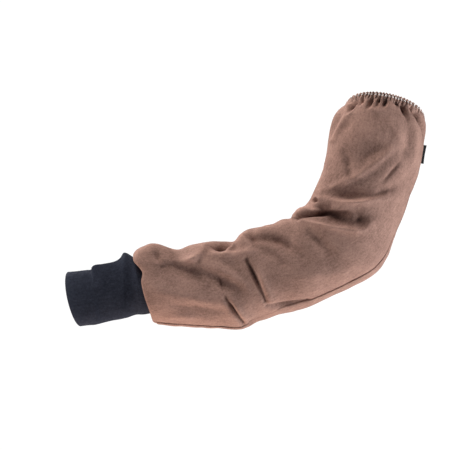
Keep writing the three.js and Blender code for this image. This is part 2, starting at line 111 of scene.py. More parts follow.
NEAR_FOLDS = [
    # Upper arm
    (-90, -100, -40, -79.5, 5, -46, 1.5, 4.5, 2, 4.5, 4, -1, 1.8),
    (-80, -104, -50, -109, -4, -102, -3, -6, -2.5, 15, 4.5, 0, 2),
    (-86, -105.5, -45, -116.5, 2, -104, 1.5, 7, 2, 3.5, 6.5, 1, 1.8),
    (4, -12, 15, -25, 23, -38, 1.5, 2.5, 1, 7, 5, 0, 2),
    (25, -14, 29, -30, 26, -46, -2, -4, -2.5, 6, 7, 0, 2),
    (36, -10, 39, -30, 36, -60, 2, 3.5, 2, 6, 6, 0, 2),
    (17, -62, 8, -73, -3, -86, -1.5, -3.2, -1.5, 2.5, 3, 0, 1.6),
    (-40, -61, -19, -48, 0, -34, -2, -4.5, -2.5, 15, 7, 0, 2),
    (-42, -20, -10, -25, 22, -22, 2, 3.5, 2, 22, 14, 0, 2),
    (-56, -50, -51, -66, -48, -82, -2, -4, -3, 6, 5, 0, 2),
    (-58, 6, -68, -10, -75, -28, -2, -5, -3, 4, 5, 0, 2),
    (-50, 4, -61, -13, -72, -31, 2, 4, 2.5, 4, 5, 0, 1.8),
    (-45, -4, -52, -14, -60, -24, -1, -2.5, -1, 6, 7, 0, 2),
    (36, -84, 14, -95, -8, -103, -2.5, -4, -2.5, 8, 7, 0, 2),
    (43, -1, 49, -14, 52, -33, -4, -6, -4, 2.5, 3, 0, 1.8),
    (-27, 13, -13, 8.3, 6, 13, 1.5, 2.5, 1.5, 3, 6, 0, 2),
    # Gathers below the hem
    (-41, 20, -45.5, 14, -51.5, 4.5, -9, -12, -3, 2.4, 3, 0, 2),
    (-31, 24, -33.5, 20, -37, 15, -5, -9, -3, 2.2, 2.4, 0, 2),
    (-18, 24, -21.3, 18, -24.5, 11, -5, -8.5, -3, 2.2, 3, 0, 1.9),
    (-9, 24, -10.5, 20, -12, 15, -4, -7, -2, 2, 2.2, 0, 2),
    (-1, 24, -1.5, 18, -2.5, 11, -5, -8.5, -3, 2.2, 2.6, 0, 1.9),
    (-24, 12.5, -12, 13, 1, 13, -1, -2.5, -1, 3, 3, 0, 2),
    (11, 22, 13, 18, 15.5, 12, -6, -10, -3, 2.2, 2.2, 0, 2),
    (20.5, 17, 23.5, 8, 27.5, -4, -6, -11, -3, 2.4, 3.4, 0, 1.8),
    (32, 13, 33.8, 9, 36, 2, -6, -11, -4, 2, 2, 0, 2),
    (40, 6, 42.5, -3, 46, -13, -8, -14, -5, 2.4, 3, 0, 2),
    # Crook of the elbow: the roll of the upper arm, the slit under it and the bowl below
    (-123, -134.5, -112, -126.5, -94, -123, 3, 6, 2, 5, 3.5, -2, 2),
    (-117, -134.3, -92, -128, -54, -128, -6, -12.5, -4, 2.6, 4.5, 0, 2.6),
    (-94, -130, -68, -133, -50, -135, -3, -10.5, -3, 5, 11, 0, 2),
    (-78, -123.5, -64, -122.5, -46, -124, 1, 3, 1.5, 4, 2.5, -2, 1.8),
    (-48, -130, -36, -134, -25, -134, -2, -3.5, -2, 5, 9, 0, 2),
    (-39, -138, -36, -138.5, -33, -139.5, -2, -3.4, -2, 4, 4, 0, 2),
    (-49, -129, -46, -134, -44, -140, 1, 2.8, 1, 4, 4, 0, 2),
    (-114, -139, -76, -147, -40, -152, 1.5, 5, 2.5, 3.2, 6.5, 0, 1.7),
    (-114, -141, -74, -149, -32, -153, 1, 2, 1.5, 5, 15, 0, 2),
    (-42, -151.5, -24, -145, -28, -129, 2, 3.8, 1, 5, 11, 0, 1.9),
    (-112, -136, -97, -134, -84, -135, 1, 3, 1, 3, 5, 0, 2),
    # Pressed lips of the rolls above and below the crook, and the dimple at the arm's inner edge
    (-84, -107.5, -48, -116, -8, -108, 0.8, 2.8, 0.8, 1.8, 2.4, 0, 1.4),
    (-112, -140.5, -74, -148, -41, -152.8, 1, 3, 1.3, 1.8, 2.6, 0, 1.4),
    (-41, -152.8, -29, -149.5, -22, -138, 1.3, 2.2, 0.8, 1.8, 2.6, 0, 1.4),
    (-99, -122, -88, -122.5, -76, -122.5, -4, -7, -4, 4, 4, 0, 2),
    (-97.5, -113, -95.8, -112.3, -94, -111.6, -9, -12, -9, 2, 2, 0, 2.5),
    (-93, -108, -90, -111, -88, -115, 1, 2.5, 1, 2.5, 2.5, 0, 2),
    # Forearm
    (-186.5, -191, -175, -216, -161.5, -246, -5, -13, -4, 2.6, 2, 0, 1.6),
    (-177, -196, -166, -218, -153, -245, 1, 3, 1, 5, 8, 1, 2),
    (-214, -243, -203.5, -259, -190.5, -277, -5, -11, -7, 2.3, 1.9, 0, 1.6),
    (-206, -246, -196, -259, -184, -274, 1, 2.5, 1, 4, 7, 0, 2),
    (-159, -251.5, -133, -249.8, -105, -244.5, -3, -6, -3, 1.8, 1.8, 0, 1.7),
    (-165, -258, -145, -258, -118, -254, 1, 2.5, 1, 4, 5, 0, 2),
    (-223, -211, -221.5, -220, -218.5, -230, -1.5, -2.6, -2, 2.2, 2.2, 0, 2),
    (-292, -198, -262, -202, -228, -212, -3.5, -5.5, -3, 4, 14, 0, 2),
    (-230, -214, -214, -222, -196, -231, -2, -5, -3, 7, 9, 0, 2),
    (-307, -178, -304, -187, -298, -198, -2, -4.5, -2, 5, 5, 0, 2),
    (-330, -181, -311, -173.5, -291, -177, 1.5, 3.5, 2, 2.5, 8, 0, 2),
    (-242, -196, -214, -207, -188, -226, 1.5, 4.5, 2, 6, 7, 0, 2),
    (-278, -195, -257, -192.5, -243, -178, 3, 10, 3, 8, 3.2, 0, 1.5),
    (-230, -168.5, -219, -169, -207, -169, 1, 3, 1.5, 2.5, 3, 0, 2),
    (-230, -171, -217, -170.5, -206, -165.5, -4, -7, -5, 5, 6, 0, 2),
    (-226, -173, -218, -173.5, -208, -169, -4, -10, -4, 4, 4.5, 0, 2),
    (-184, -154.5, -160, -149.5, -136, -142.5, 1, 4, 2, 3, 8, 0, 2),
    (-216, -171, -212, -176, -206, -180, 1, 3, 1, 2, 2, 0, 2),
    (-228, -184, -207, -185, -184, -180.5, 3, 6, 4, 4, 8, 0, 1.8),
    (-215, -182, -203, -173, -191, -160, 2, 6, 1, 3, 3.5, 0, 1.8),
    (-190, -160, -192, -168, -195, -177, 1, 2, 1, 3, 3, 0, 1.8),
    (-185, -154, -188, -166, -177, -178, 0.5, 5, 2, 3, 5, 0, 1.8),
    (-180, -156, -179, -161, -175, -167, -2, -3.5, -2, 5, 4.5, 0, 2),
    (-177, -160, -161, -161, -146, -164, -6, -7, -5, 7, 8, 0, 2),
    (-146, -165, -133, -171, -114, -185, -4, -7, -1.5, 8, 8, 0, 2),
    (-176, -172, -160, -180, -140, -196, -2, -3.5, -2, 5, 6, 0, 2),
    (-130, -162, -120, -171, -110, -180, 1, 2.5, 1, 6, 6, 0, 2),
    (-102, -158, -92, -167, -80, -180, -3.5, -5, -3.5, 7, 7, 0, 2),
    (-305, -230, -262, -241, -216, -248, 2, 4.2, 2.5, 11, 9, 0, 2),
    (-285, -252, -250, -255, -216, -261, -0.8, -1.6, -0.8, 5, 5, 0, 2),
    (-300, -269, -270, -267, -240, -271, 1, 2.5, 1, 4, 4, 0, 2),
    (-187, -279, -180, -276, -172, -273, -2, -4, -2, 3.5, 3.5, 0, 2),
    (-160, -213, -110, -212, -60, -210, 1, 2.2, 1, 9, 9, 0, 2),
]

FAR_FOLDS = [
    (-120, -136, -88, -131, -45, -132, -5, -12, -5, 5.5, 7, 0, 2),
    (-110, -146, -66, -155, -24, -152, 2, 5, 3, 7, 12, 1, 2),
    (-86, -98, -48, -90, 0, -66, 3, 4.5, 1, 12, 5.5, -1, 1.8),
    (-84, -108, -44, -113, 14, -102, -3, -6.5, -3, 5.5, 6, 0, 2),
    (12, -46, 22, -64, 8, -92, -3, -6, -3, 6, 7, 0, 2),
    (-52, -30, -60, -46, -70, -66, -3, -5, -3, 6, 6, 0, 2),
    (-300, -205, -255, -212, -200, -228, -4, -7.5, -4, 6, 9, 0, 2),
    (-180, -196, -172, -214, -158, -238, -4, -8, -3, 4.5, 5, 0, 1.8),
    (-250, -188, -215, -196, -186, -206, 2, 3.5, 2, 6, 8, 0, 2),
    (-150, -170, -130, -184, -100, -196, -3, -6, -3, 6, 8, 0, 2),
    (-222, -240, -206, -256, -190, -272, -3, -7, -3, 4.5, 5, 0, 1.8),
    (20, -22, 24, -32, 30, -46, -2, -5, -1, 5, 5, 0, 2),
    (-34, -10, -38, -20, -44, -34, -2, -5, -1, 5, 5, 0, 2),
]

CUFF_FOLDS = [
    (-338, -197, -332, -210, -329, -224, 0.6, 1.5, 0.8, 3, 3, 0, 2),
    (-345, -196, -340, -216, -338, -240, -0.4, -0.8, -0.4, 4, 4, 0, 2),
    (-352, -206, -350, -232, -351, -256, 0.3, 0.6, 0.3, 4, 4, 0, 2),
    (-366, -206, -372, -228, -372, -252, -0.3, -0.6, -0.3, 5, 5, 0, 2),
]

# Cloth thicknesses
WOVEN_CLOTH = 1.0
KNIT_CLOTH = 1.8
# The meshes' rows along each tube and columns round it, of which the body's far side has a share
BODY_ROWS = 304
BODY_COLUMNS = 160
FAR_SHARE = 0.32
CUFF_ROWS = 120
CUFF_COLUMNS = 150
ROW_SAMPLES = 3000
QUARTER_TURNS = (0, 0.25, 0.5, 0.75)
# Rows stand closer round the elbow's crook
CROOK_ALONG, CROOK_SPAN, CROOK_GAIN = 0.6, 0.12, 0.9
# A fold's straight steps, and how many of its half widths it reaches
FOLD_STEPS = 14
FOLD_REACH = 3.0
# The share of a tube's length or turn over which its slopes are taken
SLOPE_STEP = 5e-4
# How much the loose cloth turns more sharply than an ellipse at the arm's inner edge
SLEEVE_SQUARE = 0.38
SQUARE_FADE = (0.78, 0.92)

# Folds die out where the cloth turns edge-on to the arm's plane, at the wrist and under the hem
FOLD_FACING = (0.03, 0.3)
FOLD_WRIST = (0.06, 0.11)
FOLD_HEM = (0.94, 0.985)
# Soft unevenness of the cloth: each ripple's size and depth
RIPPLES = [(34, 0.8), (15, 0.5), (7, 0.2)]
RIPPLE_SEED = 1
# Felled seam, as a share of the tube's girth, and the groove beside it
SEAM_SHARE = 0.026
SEAM_GROOVE, SEAM_GROOVE_SHARE, SEAM_GROOVE_GAP = 0.9, 0.004, 0.002
SEAM_ENDS = (0.09, 0.945)
SEAM_TAPER, SEAM_THIN = 0.01, 0.1
# Where along the arm the seam goes flat, stands up again, and goes flat on the upper arm
SEAM_FLAT_FROM, SEAM_FLAT_TO, SEAM_FLAT_LOSS = (0.35, 0.4), (0.46, 0.51), 0.75
SEAM_UPPER_FROM, SEAM_UPPER_LOSS = (0.64, 0.7), 0.7
# The wrist edge's waves on the near side: their heights, half widths and shifts along the arm
WristWave = namedtuple("WristWave", "z width shift")
WRIST_WAVES = [WristWave(-193, 6, -2), WristWave(-208, 9, 5.5), WristWave(-240, 14, -1)]
WRIST_SPAN = (0.07, 0.17)
WRIST_TURNED = (0, 0.04)
WRIST_NEAR = (0, 20)
# Gathered hem: an elastic band in a tunnel of cloth, drawn into pleats that run out below it
HEM_START = 0.94
HEM_HEIGHT = 9.5
HEM_GIRTH = 300
HEM_PLEATS = 54
PLEAT_SPREAD = 0.4
# In waves round the hem, the pleats wander by shares of a pleat and differ in height
PleatWander = namedtuple("PleatWander", "share waves phase")
PLEAT_WANDERS = [PleatWander(0.12, 7, 0), PleatWander(0.08, 17, 1)]
PLEAT_LIVELY, PLEAT_LIVELY_WAVES = 0.2, 23
PLEAT_SAMPLES = 10
PLEAT_SHARP = 0.75
PLEAT_HEIGHT = 1.7
PLEAT_REST = 0.55
TOOTH_HEIGHT = 2.0
GATHER_START, GATHER_DEPTH = 0.925, 1.0


def named(rows):
    """A table's columns by name."""
    return {name: np.array(column, float) for name, column in zip(SECTION, zip(*rows))}


def smoothstep(value, low, high):
    """0 up to low, 1 from high on, and a smooth rise between."""
    share = np.clip((value - low) / (high - low), 0, 1)
    return share * share * (3 - 2 * share)


def spline(values, along):
    """Catmull-Rom curve through evenly spaced values, as along goes from 0 to 1."""
    place = np.clip(along, 0, 1) * (len(values) - 1)
    first = np.minimum(place.astype(int), len(values) - 2)
    u = place - first
    padded = np.concatenate([[2 * values[0] - values[1]], values, [2 * values[-1] - values[-2]]])
    a, b, c, d = (padded[first + k] for k in range(4))
    return b + 0.5 * u * (c - a + u * (2 * a - 5 * b + 4 * c - d + u * (3 * (b - c) + d - a)))


# Large primes that scatter a cell's place and a seed
HASH_X, HASH_Y, HASH_Z, HASH_SEED, HASH_MIX = 73856093, 19349663, 83492791, 2654435761, 1274126177


def hashed(ix, iy, iz, seed):
    """A fixed number from -1 to 1 for each whole-numbered place."""
    mixed = (ix * HASH_X) ^ (iy * HASH_Y) ^ (iz * HASH_Z) ^ (seed * HASH_SEED)
    mixed = (mixed ^ (mixed >> 13)) * HASH_MIX & 0xFFFFFFFF
    return ((mixed ^ (mixed >> 16)) & 0xFFFF) / (0xFFFF / 2) - 1


def noise(points, size, seed):
    """Smooth value noise from -1 to 1, with features of the given size."""
    place = points / size
    cell = np.floor(place).astype(np.int64)
    u = place - cell
    u = u * u * (3 - 2 * u)
    total = 0
    for dx in (0, 1):
        for dy in (0, 1):
            for dz in (0, 1):
                corner = hashed(cell[..., 0] + dx, cell[..., 1] + dy, cell[..., 2] + dz, seed)
                weight = np.abs(1 - dx - u[..., 0]) * np.abs(1 - dy - u[..., 1])
                total = total + corner * weight * np.abs(1 - dz - u[..., 2])
    return total


def bezier(first, middle, last, share):
    """Quadratic curve that passes its middle value half way."""
    control = 2 * middle - (first + last) / 2
    return (1 - share) ** 2 * first + 2 * share * (1 - share) * control + share**2 * last


def fold_field(folds, x, z):
    """Heights and sideways shifts of all the folds at points of the arm's plane."""
    height, shift_x, shift_z = np.zeros_like(x), np.zeros_like(x), np.zeros_like(x)
    steps = np.linspace(0, 1, FOLD_STEPS + 1)
    for fold in map(Fold._make, folds):
        reach = FOLD_REACH * max(fold.left, fold.right)
        line_x = bezier(fold.x0, fold.x1, fold.x2, steps)
        line_z = bezier(fold.z0, fold.z1, fold.z2, steps)
        close = (x > line_x.min() - reach) & (x < line_x.max() + reach)
        close &= (z > line_z.min() - reach) & (z < line_z.max() + reach)
        px, pz = x[close], z[close]
        nearest = np.full(px.shape, np.inf)
        along, side = np.zeros_like(px), np.zeros_like(px)
        left_x, left_z = np.zeros_like(px), np.zeros_like(px)
        for i in range(FOLD_STEPS):
            way_x, way_z = line_x[i + 1] - line_x[i], line_z[i + 1] - line_z[i]
            length = math.hypot(way_x, way_z)
            off_x, off_z = px - line_x[i], pz - line_z[i]
            step = np.clip((off_x * way_x + off_z * way_z) / length**2, 0, 1)
            off_x, off_z = off_x - step * way_x, off_z - step * way_z
            distance = np.hypot(off_x, off_z)
            better = distance < nearest
            nearest = np.where(better, distance, nearest)
            along = np.where(better, (i + step) / FOLD_STEPS, along)
            side = np.where(better, way_x * off_z - way_z * off_x, side)
            left_x = np.where(better, -way_z / length, left_x)
            left_z = np.where(better, way_x / length, left_z)
        rise = fold.h0 + (fold.h1 - fold.h0) * smoothstep(along, 0, 0.5)
        fall = fold.h1 + (fold.h2 - fold.h1) * smoothstep(along, 0.5, 1)
        width = np.where(side > 0, fold.left, fold.right)
        profile = np.exp(-((nearest / width) ** fold.crisp))
        height[close] += np.where(along < 0.5, rise, fall) * profile
        lively = np.sin(np.pi * along) * profile * fold.slide
        shift_x[close] += left_x * lively
        shift_z[close] += left_z * lively
    return height, shift_x, shift_z


class Tube:
    """A tube through a table of sections. along runs from the first section to the last, and
    turn runs once round: inner edge, near side, outer edge, far side."""

    def __init__(self, rows, square):
        self.sections = named(rows)
        self.square = square

    def at(self, name, along):
        """One of the sections' values at a place along the tube."""
        return spline(self.sections[name], along)

    def smooth(self, along, turn):
        """A point of the tube before its folds."""
        angle = 2 * np.pi * turn
        cosine, sine = np.cos(angle), np.sin(angle)
        square = self.square * (1 - smoothstep(along, *SQUARE_FADE))
        squared = 1 - square * (1 + cosine) / 2
        cosine = np.sign(cosine) * np.abs(cosine) ** squared
        sine = np.sign(sine) * np.abs(sine) ** squared
        inner_x, inner_z = self.at("inner_x", along), self.at("inner_z", along)
        outer_x, outer_z = self.at("outer_x", along), self.at("outer_z", along)
        half_x, half_z = (inner_x - outer_x) / 2, (inner_z - outer_z) / 2
        lean = self.at("lean", along) * sine / np.hypot(half_x, half_z)
        depth = np.where(sine > 0, self.at("near", along), self.at("far", along))
        x = (inner_x + outer_x) / 2 + half_x * cosine + half_z * lean
        z = (inner_z + outer_z) / 2 + half_z * cosine - half_x * lean
        return np.stack([x, -depth * sine, z], -1)

    def lengthways(self, along, turn):
        """The way along the tube, of length 1."""
        before, after = np.maximum(along - SLOPE_STEP, 0), np.minimum(along + SLOPE_STEP, 1)
        way = self.smooth(after, turn) - self.smooth(before, turn)
        return way / np.linalg.norm(way, axis=-1, keepdims=True)

    def outward(self, along, turn):
        """The way out of the tube, of length 1."""
        round_way = self.smooth(along, turn + SLOPE_STEP) - self.smooth(along, turn - SLOPE_STEP)
        out = np.cross(round_way, self.lengthways(along, turn))
        return out / np.linalg.norm(out, axis=-1, keepdims=True)

    def even_rows(self, count, crook_gain=0):
        """Rows at even lengths, or closer round the crook, and their lengths along the tube."""
        fine = np.linspace(0, 1, ROW_SAMPLES)
        sides = [self.smooth(fine, np.full_like(fine, turn)) for turn in QUARTER_TURNS]
        steps = np.mean([np.linalg.norm(np.diff(s, axis=0), axis=1) for s in sides], axis=0)
        closer = 1 + crook_gain * np.exp(-(((fine[1:] - CROOK_ALONG) / CROOK_SPAN) ** 2))
        place = np.concatenate([[0], np.cumsum(steps * closer)])
        length = np.concatenate([[0], np.cumsum(steps)])
        rows = np.interp(np.linspace(0, place[-1], count + 1), place, fine)
        return rows, np.interp(rows, fine, length)


sleeve = Tube(SLEEVE_SECTIONS, SLEEVE_SQUARE)
cuff = Tube(CUFF_SECTIONS, 0)


def pleat_phase(turn):
    """Pleats passed up to a turn: they stand closer on the near and far sides than at the edges."""
    wander = sum(w.share * np.sin(2 * np.pi * w.waves * turn + w.phase) for w in PLEAT_WANDERS)
    closer = PLEAT_SPREAD * np.sin(4 * np.pi * turn) / (4 * np.pi)
    return HEM_PLEATS * (turn - closer) + wander


def pleat_ridge(turn):
    """1 on a pleat's crest and 0 in the sharp valley beside it."""
    return np.abs(np.sin(np.pi * pleat_phase(turn))) ** PLEAT_SHARP


def seam_strength(along):
    """The seam shows along the forearm and the elbow, and is pulled flat between and above."""
    between = smoothstep(along, *SEAM_FLAT_FROM) * (1 - smoothstep(along, *SEAM_FLAT_TO))
    return 1 - SEAM_FLAT_LOSS * between - SEAM_UPPER_LOSS * smoothstep(along, *SEAM_UPPER_FROM)


def sleeve_cloth(along, turn, lift):
    """A point of the folded sleeve, lifted off its outside, and how high its folds stand."""
    point = sleeve.smooth(along, turn)
    out = sleeve.outward(along, turn)
    facing = smoothstep(np.abs(out[..., 1]), *FOLD_FACING)
    clear = smoothstep(along, *FOLD_WRIST) * (1 - smoothstep(along, *FOLD_HEM))
    near = fold_field(NEAR_FOLDS, point[..., 0], point[..., 2])
    far = fold_field(FAR_FOLDS, point[..., 0], point[..., 2])
    front = out[..., 1] < 0
    height, shift_x, shift_z = (np.where(front, n, f) * facing * clear for n, f in zip(near, far))
    for seed, (size, depth) in enumerate(RIPPLES, RIPPLE_SEED):
        height = height + depth * noise(point, size, seed) * clear
    gap = (turn - sleeve.at("seam", along) + 0.5) % 1 - 0.5
    beside = (gap + SEAM_SHARE / 2 + SEAM_GROOVE_GAP) / SEAM_GROOVE_SHARE
    height = height - SEAM_GROOVE * np.exp(-(beside**2)) * clear * seam_strength(along)
    valley = (1 - pleat_ridge(turn)) * smoothstep(along, GATHER_START, HEM_START)
    height = height - GATHER_DEPTH * valley
    moved = point + out * (height + lift)[..., None]
    sway = sum(w.shift * np.exp(-(((point[..., 2] - w.z) / w.width) ** 2)) for w in WRIST_WAVES)
    sway = sway * smoothstep(along, *WRIST_TURNED) * (1 - smoothstep(along, *WRIST_SPAN))
    moved[..., 0] += shift_x + sway * smoothstep(-point[..., 1], *WRIST_NEAR)
    moved[..., 2] += shift_z
    return moved, height


def add_mesh(name, points, quads, uvs, heights=None):
    """A smooth piece on the root body, with its fold heights kept for its material."""
    mesh = bpy.data.meshes.new(name)
    mesh.from_pydata((points * MM).tolist(), [], quads.tolist())
    mesh.uv_layers.new(name="cloth").data.foreach_set("uv", (uvs * MM).ravel())
    mesh.polygons.foreach_set("use_smooth", np.ones(len(quads), bool))
    if heights is None:
        heights = np.zeros(len(points))
    mesh.attributes.new("fold", "FLOAT", "POINT").data.foreach_set("value", heights)
    mesh.validate()
    piece = bpy.data.objects.new(name, mesh)
    bpy.context.scene.collection.objects.link(piece)
    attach(piece, "root")
    return piece


def wrapped(number, axis):
    """Vertex numbers with the first ones repeated at the end, to close a ring."""
    return np.concatenate([number, np.take(number, [0], axis)], axis)


def grid_quads(index, u, v, flip=False):
    """Quads over grids of vertex numbers, with their corners' lengths across and along."""
    order = [(0, 0), (1, 0), (1, 1), (0, 1)] if flip else [(0, 0), (0, 1), (1, 1), (1, 0)]
    rows, columns = index.shape[-2] - 1, index.shape[-1] - 1

    def corners(values):
        spread = np.broadcast_to(values, index.shape)
        return np.stack([spread[..., i : i + rows, j : j + columns] for i, j in order], -1)

    lengths = np.stack([corners(u), corners(v)], -1)
    return corners(index).reshape(-1, 4), lengths.reshape(-1, 4, 2)


def end_caps(rings):
    """Vertex grids that close the first and last ring of tubes with an even count of sides."""
    half = rings.shape[-1] // 2
    first, last = rings[..., 0, :], rings[..., -1, :]
    return [np.stack([first[..., :half - 1:-1], first[..., :half]], -2),
            np.stack([last[..., :half], last[..., :half - 1:-1]], -2)]


def joined(parts):
    """All the parts' quads in one array, and all their lengths in another."""
    return (np.concatenate(part) for part in zip(*parts))


# A cut edge's two rows, a millimetre apart
RIM = np.array([[0.0], [1.0]])


# Sleeve body: one closed wall, its outside, its inside and its two cut edges
SLEEVE_GIRTH = 345


def sleeve_body(rows, lengths):
    share = np.arange(BODY_COLUMNS) / BODY_COLUMNS
    far_part, near_part = share / FAR_SHARE / 2, 0.5 + (share - FAR_SHARE) / (1 - FAR_SHARE) / 2
    spread = np.where(share < FAR_SHARE, far_part, near_part)
    along = np.repeat(rows[:, None], BODY_COLUMNS, 1)
    turn = sleeve.at("seam", along) + spread
    outside, heights = sleeve_cloth(along, turn, np.zeros_like(along))
    inside = outside - WOVEN_CLOTH * sleeve.outward(along, turn)
    outer = wrapped(np.arange(along.size).reshape(along.shape), 1)
    inner = outer + along.size
    u = np.append(spread, 1.0) * SLEEVE_GIRTH
    v = lengths[:, None]
    quads, uvs = joined([
        grid_quads(outer, u, v),
        grid_quads(inner, u, v, True),
        grid_quads(np.stack([inner[0], outer[0]]), u, RIM),
        grid_quads(np.stack([outer[-1], inner[-1]]), u, lengths[-1] + RIM),
    ])
    points = np.concatenate([outside.reshape(-1, 3), inside.reshape(-1, 3)])
    return add_mesh("sleeve_cloth", points, quads, uvs, np.tile(heights.ravel(), 2))


# Felled seam: side is a share of its half width, and lift is off the cloth
SeamEdge = namedtuple("SeamEdge", "side lift")
SEAM_PROFILE = [
    SeamEdge(-1, 0.05), SeamEdge(-1, 0.9), SeamEdge(-0.93, 1.25), SeamEdge(-0.7, 1.3),
    SeamEdge(-0.4, 1.1), SeamEdge(0, 1.15), SeamEdge(0.4, 1.1), SeamEdge(0.7, 1.25),
    SeamEdge(0.93, 1.1), SeamEdge(1, 0.7), SeamEdge(1, 0.05), SeamEdge(0, 0.05),
]
SEAM_HALF_WIDTH = 5


def seam_strip(rows, lengths):
    first, last = SEAM_ENDS
    sewn = (rows > first) & (rows < last)
    rows, lengths = rows[sewn], lengths[sewn]
    side, lift = (np.array(column, float) for column in zip(*SEAM_PROFILE))
    along = np.repeat(rows[:, None], len(side), 1)
    turn = sleeve.at("seam", along) + side * SEAM_SHARE / 2
    begin = smoothstep(along, first, first + SEAM_TAPER)
    end = 1 - smoothstep(along, last - SEAM_TAPER, last)
    thick = np.maximum(begin * end * seam_strength(along), SEAM_THIN)
    points, heights = sleeve_cloth(along, turn, lift[0] + (lift - lift[0]) * thick)
    rings = np.arange(along.size).reshape(along.shape)
    u = np.append(side, side[0]) * SEAM_HALF_WIDTH
    cap_u = np.linspace(-SEAM_HALF_WIDTH, SEAM_HALF_WIDTH, len(side) // 2)
    quads, uvs = joined([grid_quads(wrapped(rings, 1), u, lengths[:, None])]
                        + [grid_quads(cap, cap_u, RIM) for cap in end_caps(rings)])
    return add_mesh("felled_seam", points.reshape(-1, 3), quads, uvs, heights.ravel())


# Hem band, folded over the neck's edge: up is in millimetres from its lower edge, lift is off
# the neck's outside, and pleat is the share of the pleats' height that shows there
HemRow = namedtuple("HemRow", "up lift pleat")
HEM_OUTSIDE = [
    HemRow(0, -0.6, 0), HemRow(1.2, -0.2, 0.2), HemRow(2.2, 0.2, 0.5), HemRow(3.2, 0.5, 0.8),
    HemRow(4.4, 0.8, 1), HemRow(5.6, 1.0, 1), HemRow(6.8, 0.95, 0.95), HemRow(7.8, 0.9, 0.9),
    HemRow(8.6, 0.9, 0.9), HemRow(9.4, 1.1, 1), HemRow(10.1, 1.1, 1.1), HemRow(10.7, 0.9, 1.1),
    HemRow(11.1, 0.3, 0.9),
]
HEM_INSIDE = [
    HemRow(11.2, -0.5, 0.7), HemRow(10.6, -1.4, 0.5), HemRow(9.2, -2.0, 0.4), HemRow(6.6, -2.1, 0.3),
    HemRow(3.8, -2.1, 0.2), HemRow(1, -1.9, 0.1), HemRow(1, -1.3, 0), HemRow(6.6, -1.3, 0),
    HemRow(9.6, -1.2, 0), HemRow(9.8, 0.1, 0), HemRow(5.7, 0.1, 0), HemRow(0.6, -0.4, 0),
]
TOOTH_ROOT, TOOTH_TIP = 8.6, 10.6
# How much the hem's pleats mark its colour: crests paler as wear, valleys darker as painted shade
HEM_WEAR_AND_SHADE = 1.6


def hem_point(turn, up, lift):
    """A point of the hem, which goes straight on where it stands above the neck's edge."""
    share = np.clip(up / HEM_HEIGHT, -1, 1)
    point, _ = sleeve_cloth(HEM_START + (1 - HEM_START) * share, turn, lift)
    beyond = np.maximum(up - HEM_HEIGHT, 0)
    return point + sleeve.lengthways(np.ones_like(up), turn) * beyond[..., None]


def pleated(turn, lift, pleat):
    """The lift of the hem's outside, with its pleats."""
    lively = 1 + PLEAT_LIVELY * np.sin(2 * np.pi * PLEAT_LIVELY_WAVES * turn)
    return lift + PLEAT_HEIGHT * pleat * (pleat_ridge(turn) - PLEAT_REST) * lively


def hem_band():
    columns = HEM_PLEATS * PLEAT_SAMPLES
    up, lift, pleat = (np.array(column, float) for column in zip(*HEM_OUTSIDE, *HEM_INSIDE))
    turn = np.repeat((np.arange(columns) / columns)[:, None], len(up), 1)
    outside = np.arange(len(up)) < len(HEM_OUTSIDE)
    lift = np.where(outside, pleated(turn, lift, pleat), lift)
    tooth = TOOTH_HEIGHT * (pleat_ridge(turn) - PLEAT_REST)
    points = hem_point(turn, up + tooth * smoothstep(up, TOOTH_ROOT, TOOTH_TIP), lift)
    number = wrapped(wrapped(np.arange(turn.size).reshape(turn.shape), 0), 1)
    u = np.linspace(0, HEM_GIRTH, columns + 1)[:, None]
    v = np.cumsum(np.abs(np.diff(up, prepend=up[0], append=up[0])))
    quads, uvs = grid_quads(number, u, v, True)
    # Pleat heights for the colour: paler crests as wear, darker valleys as painted shade
    heights = HEM_WEAR_AND_SHADE * (pleat_ridge(turn) - PLEAT_REST) * pleat
    return add_mesh("gathered_hem", points.reshape(-1, 3), quads, uvs, heights.ravel())


# Stitches over the hem's pleats: up is from its lower edge
StitchRow = namedtuple("StitchRow", "up length radius")
STITCH_ROWS = [StitchRow(8.3, 2.5, 0.62), StitchRow(7.0, 2.5, 0.62)]
STITCH_RINGS = 8
STITCH_SIDES = 8
STITCH_SINK = 0.35
STITCH_WANDER = 0.3
STITCH_CELL, STITCH_SEED = 5, 11
# A stitch's radius falls off only near its ends, and stays above nothing there
STITCH_BLUNT, STITCH_TIP = 3, 0.02
# The texture's lengths round a stitch and along it
STITCH_ROUND, STITCH_LONG = 5, 4
CREST_SAMPLES = 24001


